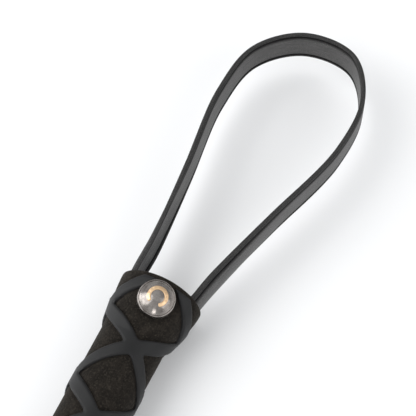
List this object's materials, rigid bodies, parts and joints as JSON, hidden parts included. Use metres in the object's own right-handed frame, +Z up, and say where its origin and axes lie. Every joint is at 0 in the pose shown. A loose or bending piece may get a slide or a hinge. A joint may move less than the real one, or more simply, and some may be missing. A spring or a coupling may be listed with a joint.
{
  "type": "riding crop",
  "caption": "Riding crop with a flared suede grip under a raised rubber lattice, a flat leather wrist loop and a sprung leather tongue.",
  "frame": {"origin": "middle of the crop's footprint, on the surface that it lies on", "axes": "+X toward the butt and wrist loop, with the shaft running to -X; +Z up, along the strap's width; +Y completes the right-handed frame"},
  "size_m": [0.7778, 0.0574, 0.0377],
  "materials": {
    "suede": "matt brown-black suede",
    "rubber": "smooth satin charcoal rubber",
    "leather": "fine-grained black leather with smooth edges",
    "nickel": "polished",
    "copper": "satin rose copper",
    "steel": "plain bright nail steel",
    "plastic": "moulded black",
    "fibreglass": "resin with long glass fibres",
    "nylon": "plaited black nylon yarn",
    "thread": "waxed black thread, close wound"
  },
  "bodies": {
    "crop": {"butt_plug": "rubber", "grip_lattice": "rubber", "grip_sleeve": "suede", "handle_core": "plastic", "neck_cone": "rubber", "shaft_braid": "nylon", "shaft_rod": "fibreglass", "strap_tail_left": "leather", "strap_tail_right": "leather", "stud_cap": "nickel", "stud_inlay": "copper", "stud_rim": "nickel", "stud_shank": "steel", "tail_tack_left": "steel", "tail_tack_right": "steel", "tip_binding": "thread", "tip_cap": "plastic", "tongue_root_lower": "leather", "tongue_root_upper": "leather"},
    "loop": {"wrist_loop": "leather"},
    "tongue": {"tongue_leaf_lower": "leather", "tongue_leaf_upper": "leather"}
  },
  "joints": [
    {"name": "wrist_loop_flex", "type": "hinge", "parent": "crop", "child": "loop", "pos_m": [0.26724, 0.01027, 0.01773], "axis": [0, 1, 0], "range_deg": [-60, 60], "stiffness_Nm_per_rad": 0.25},
    {"name": "tongue_flex", "type": "hinge", "parent": "crop", "child": "tongue", "pos_m": [-0.34293, 0.01027, 0.00514], "axis": [0, 1, 0], "range_deg": [-45, 45], "stiffness_Nm_per_rad": 0.12}
  ]
}
